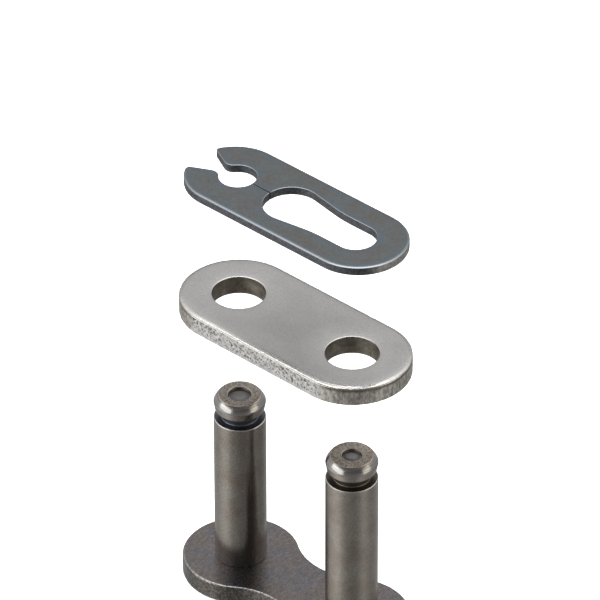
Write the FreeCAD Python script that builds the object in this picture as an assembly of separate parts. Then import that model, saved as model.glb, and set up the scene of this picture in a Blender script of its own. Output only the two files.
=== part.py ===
import FreeCAD, Part
import math
import os

# Connecting link of a roller chain, laid out as it comes apart: two pins stand in a waisted base
# plate, the link plate is held above them on their axes, and the spring clip above the link plate.
# Millimetres. Origin: midway between the pins, on the surface that the pin tails stand on.
# +Z runs up the pins and +X along the plates, towards the closed end of the clip.

# Chain
PITCH = 12.7

# Base plate
BASE_WIDTH = 10.0
BASE_WAIST = 5.9
BASE_THICKNESS = 1.75
BASE_CHAMFER = 0.2

# Pins
PIN_DIAMETER = 4.45
PRESSED_STEP = 0.2
TAIL_LENGTH = 0.5
TAIL_CHAMFER = 0.25
SHAFT_LENGTH = 14.5
SHAFT_CHAMFER = 0.07
GROOVE_DEPTH = 0.67
GROOVE_WIDTH = 0.87
HEAD_LENGTH = 1.4
HEAD_UNDERCUT = 0.11
SHOULDER_DROP = 0.62
SHOULDER_WIDTH = 0.42
DIMPLE_SLOPE = 62.0
LEFT_DIMPLE_DIAMETER = 1.94
LEFT_DIMPLE_DEPTH = 0.34
RIGHT_DIMPLE_DIAMETER = 1.66
RIGHT_DIMPLE_DEPTH = 0.34

# Link plate
PLATE_WIDTH = 10.0
PLATE_THICKNESS = 1.75
PLATE_ROUNDING = 0.35
PLATE_EDGE_BREAK = 0.15
PLATE_HOLE_CLEARANCE = 0.04
PLATE_HOLE_CHAMFER = 0.12

# Spring clip
CLIP_WIDTH = 8.4
CLIP_THICKNESS = 0.75
CLIP_ROUNDING = 0.18
CLIP_EDGE_BREAK = 0.06
CLIP_SEAT_CLEARANCE = 0.04
CLIP_TAIL_OVERHANG = 0.36
CLIP_NOSE_OVERHANG = 0.59
THROAT_GAP = 1.4
THROAT_RADIUS = 0.85
MOUTH_HALF_ANGLE = 27.0
PRONG_TIP_RADIUS = 0.35
KEYHOLE_CLEARANCE = 0.18
KEYHOLE_DISTANCE = 6.7
SLOT_WIDTH = 3.57
SLOT_END_ROOM = 0.29
SLOT_TAPER = 9.5
SLOT_BLEND_RADIUS = 12.0
SLIT_GAP = 0.06

# How far the two loose pieces are lifted off, and the play on each side of them when seated
PLATE_LIFT = 12.75
CLIP_LIFT = 10.9
SEAT_PLAY = 0.04

# Sizes that follow from the ones above
HALF_PITCH = PITCH / 2
PIN_RADIUS = PIN_DIAMETER / 2
PRESSED_RADIUS = PIN_RADIUS - PRESSED_STEP
GROOVE_RADIUS = PIN_RADIUS - GROOVE_DEPTH
PLATE_HOLE_RADIUS = PIN_RADIUS + PLATE_HOLE_CLEARANCE
CLIP_SEAT_RADIUS = GROOVE_RADIUS + CLIP_SEAT_CLEARANCE
KEYHOLE_RADIUS = PIN_RADIUS + KEYHOLE_CLEARANCE
KEYHOLE_X = HALF_PITCH - KEYHOLE_DISTANCE

# Levels
BASE_BOTTOM = TAIL_LENGTH
BASE_TOP = BASE_BOTTOM + BASE_THICKNESS
SHAFT_TOP = BASE_TOP + SHAFT_LENGTH
HEAD_BOTTOM = SHAFT_TOP + GROOVE_WIDTH
HEAD_TOP = HEAD_BOTTOM + HEAD_LENGTH
PLATE_TOP = SHAFT_TOP - SEAT_PLAY + PLATE_LIFT
PLATE_BOTTOM = PLATE_TOP - PLATE_THICKNESS
CLIP_BOTTOM = PLATE_TOP + 2 * SEAT_PLAY + CLIP_LIFT
CLIP_TOP = CLIP_BOTTOM + CLIP_THICKNESS

UP = FreeCAD.Vector(0, 0, 1)
LEVEL_TOLERANCE = 1e-6


def point(x, y, z=0.0):
    return FreeCAD.Vector(x, y, z)


def line(start, end):
    return Part.LineSegment(start, end).toShape()


def lines(corners):
    """Straight edges from each corner to the next."""
    return [line(start, end) for start, end in zip(corners, corners[1:])]


def arc(centre, radius, start, end):
    """Arc in the XY plane between two angles in degrees, turning the way that start leads to end."""
    through = [math.radians(angle) for angle in (start, (start + end) / 2, end)]
    on_arc = [centre + point(radius * math.cos(turn), radius * math.sin(turn)) for turn in through]
    return Part.Arc(*on_arc).toShape()


def mirrored(edges):
    """The same edges on the other side of the X axis."""
    return [edge.mirror(point(0, 0), point(0, 1)) for edge in edges]


def slab(edges, bottom, thickness):
    """Flat piece with the closed outline that the edges make."""
    face = Part.Face(Part.Wire(Part.__sortEdges__(edges)))
    face.translate(UP * bottom)
    return face.extrude(UP * thickness)


def rims(shape, level):
    """Edges of a flat piece that lie at one level."""
    return [edge for edge in shape.Edges
            if abs(edge.BoundBox.ZMin - level) < LEVEL_TOLERANCE
            and abs(edge.BoundBox.ZMax - level) < LEVEL_TOLERANCE]


def new_rims(shape, before, level):
    """Rims at one level that the piece did not have before a cut."""
    known = [edge.CenterOfMass for edge in rims(before, level)]
    return [edge for edge in rims(shape, level)
            if all(edge.CenterOfMass.distanceToPoint(old) > LEVEL_TOLERANCE for old in known)]


def round_ended(width, left_x, right_x, bottom, thickness):
    """Straight-sided flat piece with half-round ends about two points on the X axis."""
    radius = width / 2
    edges = [
        line(point(left_x, radius), point(right_x, radius)),
        arc(point(right_x, 0), radius, 90, -90),
        line(point(right_x, -radius), point(left_x, -radius)),
        arc(point(left_x, 0), radius, -90, -270),
    ]
    return slab(edges, bottom, thickness)


def waisted(width, waist, bottom, thickness):
    """Figure-of-eight flat piece: round ends about the pins, joined smoothly by hollow arcs."""
    radius, half_waist = width / 2, waist / 2
    hollow = (HALF_PITCH ** 2 + half_waist ** 2 - radius ** 2) / (2 * (radius - half_waist))
    hollow_y = half_waist + hollow
    turn = math.degrees(math.atan2(hollow_y, HALF_PITCH))
    edges = [
        arc(point(HALF_PITCH, 0), radius, turn - 180, 180 - turn),
        arc(point(0, hollow_y), hollow, -turn, turn - 180),
        arc(point(-HALF_PITCH, 0), radius, turn, 360 - turn),
        arc(point(0, -hollow_y), hollow, 180 - turn, turn),
    ]
    return slab(edges, bottom, thickness)


def pin_bores(radius, bottom, thickness):
    """Round cutters on the two pin axes."""
    return [Part.makeCylinder(radius, thickness, point(x, 0, bottom)) for x in (-HALF_PITCH, HALF_PITCH)]


def make_base_plate():
    """Waisted plate with broken rims and the two bores that the pins are pressed into."""
    plate = waisted(BASE_WIDTH, BASE_WAIST, BASE_BOTTOM, BASE_THICKNESS)
    plate = plate.makeChamfer(BASE_CHAMFER, rims(plate, BASE_TOP) + rims(plate, BASE_BOTTOM))
    return plate.cut(pin_bores(PRESSED_RADIUS, BASE_BOTTOM, BASE_THICKNESS))


def make_pin(x, dimple_diameter, dimple_depth):
    """Turned pin: thinner pressed end, plain shaft, clip groove and a domed head with a dimple."""
    shoulder = HEAD_TOP - SHOULDER_DROP
    dimple_rim = dimple_diameter / 2
    dimple_floor = dimple_rim - dimple_depth / math.tan(math.radians(DIMPLE_SLOPE))
    dimple_bottom = HEAD_TOP - dimple_depth
    dome = (SHOULDER_DROP ** 2 + SHOULDER_WIDTH ** 2) / (2 * SHOULDER_WIDTH)
    half_sweep = math.asin(SHOULDER_DROP / dome) / 2

    def at(radius, z):
        return point(radius, 0, z)

    below = [
        at(0, 0),
        at(PRESSED_RADIUS - TAIL_CHAMFER, 0),
        at(PRESSED_RADIUS, TAIL_CHAMFER),
        at(PRESSED_RADIUS, BASE_TOP),
        at(PIN_RADIUS - SHAFT_CHAMFER, BASE_TOP),
        at(PIN_RADIUS, BASE_TOP + SHAFT_CHAMFER),
        at(PIN_RADIUS, SHAFT_TOP - SHAFT_CHAMFER),
        at(PIN_RADIUS - SHAFT_CHAMFER, SHAFT_TOP),
        at(GROOVE_RADIUS, SHAFT_TOP),
        at(GROOVE_RADIUS, HEAD_BOTTOM),
        at(PIN_RADIUS - HEAD_UNDERCUT, HEAD_BOTTOM),
        at(PIN_RADIUS, shoulder),
    ]
    above = [
        at(PIN_RADIUS - SHOULDER_WIDTH, HEAD_TOP),
        at(dimple_rim, HEAD_TOP),
        at(dimple_floor, dimple_bottom),
        at(0, dimple_bottom),
    ]
    dome_middle = at(PIN_RADIUS - dome * (1 - math.cos(half_sweep)), shoulder + dome * math.sin(half_sweep))
    round_shoulder = Part.Arc(below[-1], dome_middle, above[0]).toShape()
    profile = lines(below) + [round_shoulder] + lines(above) + [line(above[-1], below[0])]
    pin = Part.Face(Part.Wire(profile)).revolve(point(0, 0), UP, 360)
    pin.translate(point(x, 0))
    return pin


def make_link_plate():
    """Straight-sided plate with rounded rims and two holes that slip over the pin heads."""
    plate = round_ended(PLATE_WIDTH, -HALF_PITCH, HALF_PITCH, PLATE_BOTTOM, PLATE_THICKNESS)
    plate = plate.makeFillet(PLATE_ROUNDING, rims(plate, PLATE_TOP))
    plate = plate.makeChamfer(PLATE_EDGE_BREAK, rims(plate, PLATE_BOTTOM))
    drilled = plate.cut(pin_bores(PLATE_HOLE_RADIUS, PLATE_BOTTOM, PLATE_THICKNESS))
    hole_rims = new_rims(drilled, plate, PLATE_TOP) + new_rims(drilled, plate, PLATE_BOTTOM)
    return drilled.makeChamfer(PLATE_HOLE_CHAMFER, hole_rims)


def mouth_cutter():
    """Round seat for the left pin's groove, a throat that holds it in and a flared mouth."""
    flare = math.radians(MOUTH_HALF_ANGLE)
    seat = point(-HALF_PITCH, 0)
    nub_y = THROAT_GAP / 2 + THROAT_RADIUS
    lean = math.asin(nub_y / (CLIP_SEAT_RADIUS + THROAT_RADIUS))
    nub = seat + point(-(CLIP_SEAT_RADIUS + THROAT_RADIUS) * math.cos(lean), nub_y)
    seat_turn = 180 - math.degrees(lean)
    flare_start = nub + point(-math.sin(flare), -math.cos(flare)) * THROAT_RADIUS
    flare_end = flare_start + point(-math.cos(flare), math.sin(flare)) * CLIP_WIDTH
    upper = [
        arc(nub, THROAT_RADIUS, seat_turn - 180, -90 - MOUTH_HALF_ANGLE),
        line(flare_start, flare_end),
    ]
    edges = upper + mirrored(upper)
    edges.append(arc(seat, CLIP_SEAT_RADIUS, seat_turn, -seat_turn))
    edges.append(line(flare_end, point(flare_end.x, -flare_end.y)))
    return slab(edges, CLIP_BOTTOM, CLIP_THICKNESS)


def keyhole_cutter():
    """Slot for the right pin's groove, which opens in a taper to a round that clears the pin's head."""
    taper = math.radians(SLOT_TAPER)
    half_slot = SLOT_WIDTH / 2
    taper_start = point(KEYHOLE_X + KEYHOLE_RADIUS * math.sin(taper), KEYHOLE_RADIUS * math.cos(taper))
    corner_x = taper_start.x + (taper_start.y - half_slot) / math.tan(taper)
    blend = SLOT_BLEND_RADIUS * math.tan(taper / 2)
    taper_end = point(corner_x - blend * math.cos(taper), half_slot + blend * math.sin(taper))
    blend_centre = point(corner_x + blend, half_slot + SLOT_BLEND_RADIUS)
    end = point(HALF_PITCH + SLOT_END_ROOM, 0)
    upper = [
        line(taper_start, taper_end),
        arc(blend_centre, SLOT_BLEND_RADIUS, -90 - SLOT_TAPER, -90),
        line(point(blend_centre.x, half_slot), point(end.x, half_slot)),
    ]
    edges = upper + mirrored(upper)
    edges.append(arc(point(KEYHOLE_X, 0), KEYHOLE_RADIUS, 90 - SLOT_TAPER, 270 + SLOT_TAPER))
    edges.append(arc(end, half_slot, 90, -90))
    return slab(edges, CLIP_BOTTOM, CLIP_THICKNESS)


def slit_cutter():
    """Sheared slit through the bridge between seat and keyhole, which lets the two legs spread."""
    seat_wall = -HALF_PITCH + CLIP_SEAT_RADIUS
    keyhole_wall = KEYHOLE_X - KEYHOLE_RADIUS
    bridge = keyhole_wall - seat_wall
    start = point(seat_wall - bridge / 2, -SLIT_GAP / 2, CLIP_BOTTOM)
    return Part.makeBox(2 * bridge, SLIT_GAP, CLIP_THICKNESS, start)


def prong_tips(shape):
    """Upright edges at the ends of the two prongs."""
    upright = [edge for edge in shape.Edges if edge.BoundBox.ZLength > CLIP_THICKNESS / 2]
    end = min(edge.BoundBox.XMin for edge in upright)
    return [edge for edge in upright if edge.BoundBox.XMin < end + LEVEL_TOLERANCE]


def make_spring_clip():
    """Stamped spring clip: a closed nose, a keyhole slot, a sheared bridge and two sprung prongs."""
    nose_x, tail_x = HALF_PITCH + CLIP_NOSE_OVERHANG, -HALF_PITCH - CLIP_TAIL_OVERHANG
    clip = round_ended(CLIP_WIDTH, tail_x, nose_x, CLIP_BOTTOM, CLIP_THICKNESS).cut(mouth_cutter())
    clip = clip.makeFillet(PRONG_TIP_RADIUS, prong_tips(clip))
    clip = clip.makeFillet(CLIP_ROUNDING, rims(clip, CLIP_TOP))
    clip = clip.makeChamfer(CLIP_EDGE_BREAK, rims(clip, CLIP_BOTTOM))
    pierced = clip.cut(keyhole_cutter())
    keyhole_rims = new_rims(pierced, clip, CLIP_TOP) + new_rims(pierced, clip, CLIP_BOTTOM)
    return pierced.makeChamfer(CLIP_EDGE_BREAK, keyhole_rims).cut(slit_cutter())


def make_pieces():
    return {
        "base_plate": make_base_plate(),
        "pin_left": make_pin(-HALF_PITCH, LEFT_DIMPLE_DIAMETER, LEFT_DIMPLE_DEPTH),
        "pin_right": make_pin(HALF_PITCH, RIGHT_DIMPLE_DIAMETER, RIGHT_DIMPLE_DEPTH),
        "link_plate": make_link_plate(),
        "spring_clip": make_spring_clip(),
    }


os.makedirs("parts", exist_ok=True)
for node, shape in make_pieces().items():
    (solid,) = shape.Solids
    solid.exportStep("parts/%s.step" % node)
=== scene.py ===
"""Roller chain connecting link: two grooved pins in a waisted plate, a link plate and a spring clip."""

import math

import bmesh
import bpy
import numpy as np
from bpy.props import FloatProperty, FloatVectorProperty, IntProperty, PointerProperty
from mathutils import Matrix, Vector, geometry, noise


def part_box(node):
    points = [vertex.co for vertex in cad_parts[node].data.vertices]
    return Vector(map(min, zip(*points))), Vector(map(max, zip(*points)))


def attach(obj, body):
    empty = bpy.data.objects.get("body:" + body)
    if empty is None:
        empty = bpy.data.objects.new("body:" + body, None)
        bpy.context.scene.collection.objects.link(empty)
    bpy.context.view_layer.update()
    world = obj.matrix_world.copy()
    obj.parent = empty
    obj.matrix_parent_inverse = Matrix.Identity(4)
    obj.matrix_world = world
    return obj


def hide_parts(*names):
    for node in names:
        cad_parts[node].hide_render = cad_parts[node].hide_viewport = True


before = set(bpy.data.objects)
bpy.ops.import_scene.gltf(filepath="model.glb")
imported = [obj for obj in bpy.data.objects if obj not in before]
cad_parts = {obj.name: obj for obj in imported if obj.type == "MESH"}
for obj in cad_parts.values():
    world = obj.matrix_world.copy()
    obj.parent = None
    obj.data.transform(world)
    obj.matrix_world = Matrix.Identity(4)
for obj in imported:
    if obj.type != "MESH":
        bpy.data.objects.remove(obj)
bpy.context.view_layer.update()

bl_info = {
    "name": "Chain connecting link",
    "version": (1, 0, 0),
    "blender": (4, 5, 0),
    "location": "3D View > Sidebar > Chain link",
    "description": "Builds a roller chain's connecting link, taken apart, with steel finishes and a studio",
    "category": "Object",
}

MM = 0.001


def box_mm(node):
    """Lowest and highest corner of a CAD node in millimetres."""
    low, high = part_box(node)
    return np.array(low) / MM, np.array(high) / MM


BASE_LOW, BASE_HIGH = box_mm("base_plate")
PIN_LOW, PIN_HIGH = box_mm("pin_left")
PLATE_LOW, PLATE_HIGH = box_mm("link_plate")
CLIP_LOW, CLIP_HIGH = box_mm("spring_clip")

# Sizes of the solids in millimetres. Those of the clip and the waist stand with their outlines.
HALF_PITCH = float(-(PIN_LOW[0] + PIN_HIGH[0]) / 2)
PIN_RADIUS = float((PIN_HIGH[0] - PIN_LOW[0]) / 2)
PRESSED_RADIUS = PIN_RADIUS - 0.2
GROOVE_RADIUS = PIN_RADIUS - 0.67
SHAFT_FOOT = float(BASE_HIGH[2])
SHAFT_TOP = SHAFT_FOOT + 14.5
HEAD_BOTTOM = SHAFT_TOP + 0.87
HEAD_TOP = float(PIN_HIGH[2])
HEAD_FLAT = PIN_RADIUS - 0.435
PLATE_HOLE_RADIUS = PIN_RADIUS + 0.04


def linear(hex_code):
    """Turns an sRGB hex colour into the linear values that a shader wants."""
    channels = [int(hex_code[i:i + 2], 16) / 255 for i in (1, 3, 5)]
    curved = [c / 12.92 if c <= 0.04045 else ((c + 0.055) / 1.055) ** 2.4 for c in channels]
    return (*curved, 1.0)


def colour(name, description, hex_code):
    """Colour setting that starts from a hex code."""
    return FloatVectorProperty(name=name, description=description, subtype="COLOR", size=4,
                               min=0.0, max=1.0, default=linear(hex_code))


def length(name, description, millimetres):
    """Length setting that starts from millimetres."""
    return FloatProperty(name=name, description=description, subtype="DISTANCE", unit="LENGTH",
                         min=0.0, default=millimetres * MM)


class LinkSizes(bpy.types.PropertyGroup):
    """Sizes of the stamped and turned detail that the solids leave plain."""
    base_rounding: length("Base rim", "Rounding of the base plate's tumbled rims", 0.2)
    plate_rounding: length("Plate rim", "Rolled width of the link plate's rim on the punch side", 0.5)
    clip_rounding: length("Clip rim", "Rolled width of the clip's outer rim", 0.34)
    pit_depth: length("Pit depth", "Depth of the pits in the link plate's sheared wall", 0.035)
    nick_depth: length("Nick depth", "Depth of the tumbling nicks in the base plate's rim", 0.03)
    around: IntProperty(name="Pin facets", description="Steps around a pin", default=240, min=24, max=512)


class LinkColours(bpy.types.PropertyGroup):
    """Colours of the four finishes."""
    plate: colour("Link plate", "Tumbled pale steel", "#C6C4C3")
    plate_pit: colour("Plate pits", "Scale in the pits of the sheared wall", "#53514D")
    clip: colour("Clip", "Tempered spring steel", "#828687")
    clip_blue: colour("Clip temper blue", "Heat tint along the clip's rims", "#7B8893")
    clip_brown: colour("Clip temper brown", "Faint brown mottling of the clip", "#817F7D")
    pin: colour("Pins", "Ground case-hardened steel", "#B5AFA6")
    pin_brown: colour("Pin tint", "Warm tint of hardening on the pins", "#A29588")
    base: colour("Base plate", "Dark hardened steel", "#8E8888")
    base_blue: colour("Base temper blue", "Blue heat tint of the base plate", "#7F8492")
    base_brown: colour("Base temper brown", "Brown heat tint of the base plate", "#92877F")


# Outlines, in millimetres and degrees. Every loop keeps the steel on its left.

HALF_WAIST = 2.95
CLIP_RADIUS = float(CLIP_HIGH[1])
NOSE_X, TAIL_X = HALF_PITCH + 0.59, -HALF_PITCH - 0.36
HALF_MOUTH, FLARE, THROAT_RADIUS, PRONG_RADIUS = 0.7, 27.0, 0.85, 0.35
SEAT_RADIUS = GROOVE_RADIUS + 0.04
KEYHOLE_X, KEYHOLE_RADIUS = HALF_PITCH - 6.7, PIN_RADIUS + 0.18
TAPER, BLEND_RADIUS = 9.5, 12.0
HALF_SLOT, SLOT_END = 1.785, HALF_PITCH + 0.29
SLIT_AT_SEAT, SLIT_AT_KEYHOLE = 0.03, 0.055
INNER_RIM, SLIT_RIM, RIM_EASE = 0.11, 0.004, 0.66


def arc(centre, radius, start, end, step):
    """Points along an arc between two angles in degrees, without its last one."""
    sweep = math.radians(end - start)
    count = max(4, round(abs(sweep) * radius / step))
    turn = math.radians(start) + sweep * np.arange(count) / count
    return np.stack([centre[0] + radius * np.cos(turn), centre[1] + radius * np.sin(turn)], 1)


def straight(start, end, step):
    """Points along a straight run, without its last one."""
    start, end = np.array(start, float), np.array(end, float)
    count = max(1, round(float(np.linalg.norm(end - start)) / step))
    return start + (end - start) * (np.arange(count) / count)[:, None]


def plate_outline(step):
    """Straight sides and half-round ends."""
    radius = float(PLATE_HIGH[1])
    return np.concatenate([
        arc((HALF_PITCH, 0), radius, -90, 90, step),
        straight((HALF_PITCH, radius), (-HALF_PITCH, radius), step),
        arc((-HALF_PITCH, 0), radius, 90, 270, step),
        straight((-HALF_PITCH, -radius), (HALF_PITCH, -radius), step),
    ])


def base_outline(step):
    """Two round ends joined by hollow arcs."""
    radius = float(BASE_HIGH[1])
    hollow = (HALF_PITCH ** 2 + HALF_WAIST ** 2 - radius ** 2) / (2 * (radius - HALF_WAIST))
    hollow_y = HALF_WAIST + hollow
    turn = math.degrees(math.atan2(hollow_y, HALF_PITCH))
    return np.concatenate([
        arc((HALF_PITCH, 0), radius, turn - 180, 180 - turn, step),
        arc((0, hollow_y), hollow, -turn, turn - 180, step),
        arc((-HALF_PITCH, 0), radius, turn, 360 - turn, step),
        arc((0, -hollow_y), hollow, 180 - turn, turn, step),
    ])


def bores(radius, step):
    """Both holes of a plate."""
    return [arc((x, 0), radius, 0, -360, step) for x in (-HALF_PITCH, HALF_PITCH)]


def clip_outline(step, rounding):
    """One loop right round the clip and the rim rounding at each of its points.

    The upper half runs from the nose over the outside, the prong's tip, the flared mouth, the seat,
    the slit and the keyhole to the slot's end, and the lower half mirrors it."""
    flare, taper = math.radians(FLARE), math.radians(TAPER)
    seat, tail = np.array([-HALF_PITCH, 0.0]), np.array([TAIL_X, 0.0])
    throat_y = HALF_MOUTH + THROAT_RADIUS
    lean = math.asin(throat_y / (SEAT_RADIUS + THROAT_RADIUS))
    throat = seat + [-(SEAT_RADIUS + THROAT_RADIUS) * math.cos(lean), throat_y]
    normal = np.array([math.sin(flare), math.cos(flare)])
    along = np.array([-math.cos(flare), math.sin(flare)])
    flare_start = throat - normal * THROAT_RADIUS
    inner = flare_start + normal * PRONG_RADIUS - tail
    room = (CLIP_RADIUS - PRONG_RADIUS) ** 2 - inner @ inner
    reach = math.sqrt((inner @ along) ** 2 + room) - inner @ along
    prong = flare_start + normal * PRONG_RADIUS + along * reach
    prong_turn = math.degrees(math.atan2(*(prong - tail)[::-1]))
    taper_start = np.array([KEYHOLE_X + KEYHOLE_RADIUS * math.sin(taper), KEYHOLE_RADIUS * math.cos(taper)])
    corner_x = taper_start[0] + (taper_start[1] - HALF_SLOT) / math.tan(taper)
    blend = BLEND_RADIUS * math.tan(taper / 2)
    taper_end = (corner_x - blend * math.cos(taper), HALF_SLOT + blend * math.sin(taper))
    seat_slit = math.asin(SLIT_AT_SEAT / SEAT_RADIUS)
    keyhole_slit = math.asin(SLIT_AT_KEYHOLE / KEYHOLE_RADIUS)
    slit_start = (seat[0] + SEAT_RADIUS * math.cos(seat_slit), SLIT_AT_SEAT)
    slit_end = (KEYHOLE_X - KEYHOLE_RADIUS * math.cos(keyhole_slit), SLIT_AT_KEYHOLE)
    runs = [
        (arc((NOSE_X, 0), CLIP_RADIUS, 0, 90, step), rounding),
        (straight((NOSE_X, CLIP_RADIUS), (TAIL_X, CLIP_RADIUS), step), rounding),
        (arc(tail, CLIP_RADIUS, 90, prong_turn, step), rounding),
        (arc(prong, PRONG_RADIUS, prong_turn, 270 - FLARE, step), rounding),
        (straight(prong - normal * PRONG_RADIUS, flare_start, step), INNER_RIM),
        (arc(throat, THROAT_RADIUS, 270 - FLARE, 360 - math.degrees(lean), step), INNER_RIM),
        (arc(seat, SEAT_RADIUS, 180 - math.degrees(lean), math.degrees(seat_slit), step), INNER_RIM),
        (straight(slit_start, slit_end, step), SLIT_RIM),
        (arc((KEYHOLE_X, 0), KEYHOLE_RADIUS, 180 - math.degrees(keyhole_slit), 90 - TAPER, step), INNER_RIM),
        (straight(taper_start, taper_end, step), INNER_RIM),
        (arc((corner_x + blend, HALF_SLOT + BLEND_RADIUS), BLEND_RADIUS, -90 - TAPER, -90, step), INNER_RIM),
        (straight((corner_x + blend, HALF_SLOT), (SLOT_END, HALF_SLOT), step), INNER_RIM),
        (arc((SLOT_END, 0), HALF_SLOT, 90, 0, step), INNER_RIM),
        (np.array([[SLOT_END + HALF_SLOT, 0.0]]), INNER_RIM),
    ]
    upper = np.concatenate([points for points, _ in runs])
    rim = np.concatenate([np.full(len(points), size) for points, size in runs])
    points = np.concatenate([upper, upper[-2:0:-1] * [1, -1]])
    return points, smoothed(points, np.concatenate([rim, rim[-2:0:-1]]), RIM_EASE)


def smoothed(points, values, reach):
    """Eases values along a loop, so that the largest takes at least the given reach to fade out."""
    gap = np.linalg.norm(np.roll(points, -1, 0) - points, axis=1)
    eased = values.copy()
    slope = values.max() / reach
    for _ in range(2):
        for i in range(len(eased)):
            eased[i] = min(eased[i], eased[i - 1] + gap[i - 1] * slope)
        for i in range(len(eased) - 1, -1, -1):
            eased[i] = min(eased[i], eased[(i + 1) % len(eased)] + gap[i] * slope)
    return eased


def outward(points):
    """Vectors that point out of the steel, longer at corners so that offsets stay parallel."""
    before, after = points - np.roll(points, 1, 0), np.roll(points, -1, 0) - points
    before /= np.linalg.norm(before, axis=1)[:, None]
    after /= np.linalg.norm(after, axis=1)[:, None]
    along = before + after
    along /= np.linalg.norm(along, axis=1)[:, None]
    stretch = np.clip((along * after).sum(1), 0.5, 1.0)
    return np.stack([along[:, 1], -along[:, 0]], 1) / stretch[:, None]


# Stamped pieces

BLOCK = 1000
RIM_ROWS, WALL_ROWS = 11, 15


def inside(points, loops):
    """Which points lie within the outer loop and outside its holes, by counting crossings."""
    hit = np.zeros(len(points), int)
    for loop in loops:
        ends = np.roll(loop, -1, 0)
        run = np.where(ends[:, 1] == loop[:, 1], 1.0, ends[:, 1] - loop[:, 1])
        for start in range(0, len(points), BLOCK):
            x, y = points[start:start + BLOCK, 0, None], points[start:start + BLOCK, 1, None]
            spans = (loop[:, 1] > y) != (ends[:, 1] > y)
            crossing = loop[:, 0] + (y - loop[:, 1]) * (ends[:, 0] - loop[:, 0]) / run
            hit[start:start + BLOCK] += (spans & (x < crossing)).sum(1)
    return hit % 2 == 1


def nearest(points, loops):
    """Distance from each point to the nearest outline."""
    outline = np.concatenate(loops)
    return np.concatenate([np.sqrt(((points[start:start + BLOCK, None] - outline[None]) ** 2).sum(2).min(1))
                           for start in range(0, len(points), BLOCK)])


def face_grid(loops, spacing, margin):
    """Staggered points within the outline that keep a margin from it, and their distance from it."""
    low, high = loops[0].min(0), loops[0].max(0)
    across, up = np.meshgrid(np.arange(low[0], high[0], spacing), np.arange(low[1], high[1], spacing))
    across[1::2] += spacing / 2
    grid = np.column_stack([across.ravel(), up.ravel()])
    grid = grid[inside(grid, loops)]
    away = nearest(grid, loops)
    return grid[away > margin], away[away > margin]


def fill(loops, grid):
    """Triangles between loops that pass through a grid's points, as indices into loops then grid."""
    points = np.concatenate([*loops, grid])
    edges, first = [], 0
    for loop in loops:
        edges += [(first + i, first + (i + 1) % len(loop)) for i in range(len(loop))]
        first += len(loop)
    made = geometry.delaunay_2d_cdt([Vector(p) for p in points], edges, [], 0, 1e-7)
    if len(made[0]) != len(points):
        raise RuntimeError("the outline crosses itself: %d points became %d" % (len(points), len(made[0])))
    source = [origin[0] for origin in made[3]]
    faces = np.array([[source[i] for i in face] for face in made[2]])
    return faces[inside(points[faces].mean(1), loops)]


def pitted(depth, size, seed, lift=0.0, bare=-1.0):
    """Function from points to the depth of pits of about the given size. Seed shifts them, lift widens
    them, and there are none within the bare distance of the centre line."""
    shift = Vector((seed * 7.1, seed * 3.7, seed * 5.3))

    def at(points):
        field = np.array([noise.fractal(Vector(p) / size + shift, 0.7, 2.1, 3) for p in points])
        return depth * np.clip(field + lift, 0, 1) * (np.abs(points[:, 1]) > bare)

    return at


def wall_rows(top, bottom, rim, foot, squat, roll, shelf):
    """Inset and height of each row of points, from the face over the rim and down the wall to the foot."""
    edge = top - roll[0]
    upper, lower = edge - rim * squat, bottom + foot
    turns = np.linspace(0, math.pi / 2, RIM_ROWS)
    rows = [(rim + reach, top - roll[0] * math.exp(-reach / roll[1])) for reach in shelf]
    rows += [(rim * (1 - math.sin(turn)), edge - rim * squat * (1 - math.cos(turn))) for turn in turns]
    rows += [(rim * 0, upper + (lower - upper) * share) for share in np.linspace(0, 1, WALL_ROWS)[1:-1]]
    rows += [(foot * (1 - math.sin(turn)), bottom + foot * (1 - math.cos(turn))) for turn in turns[::-1]]
    return rows


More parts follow.
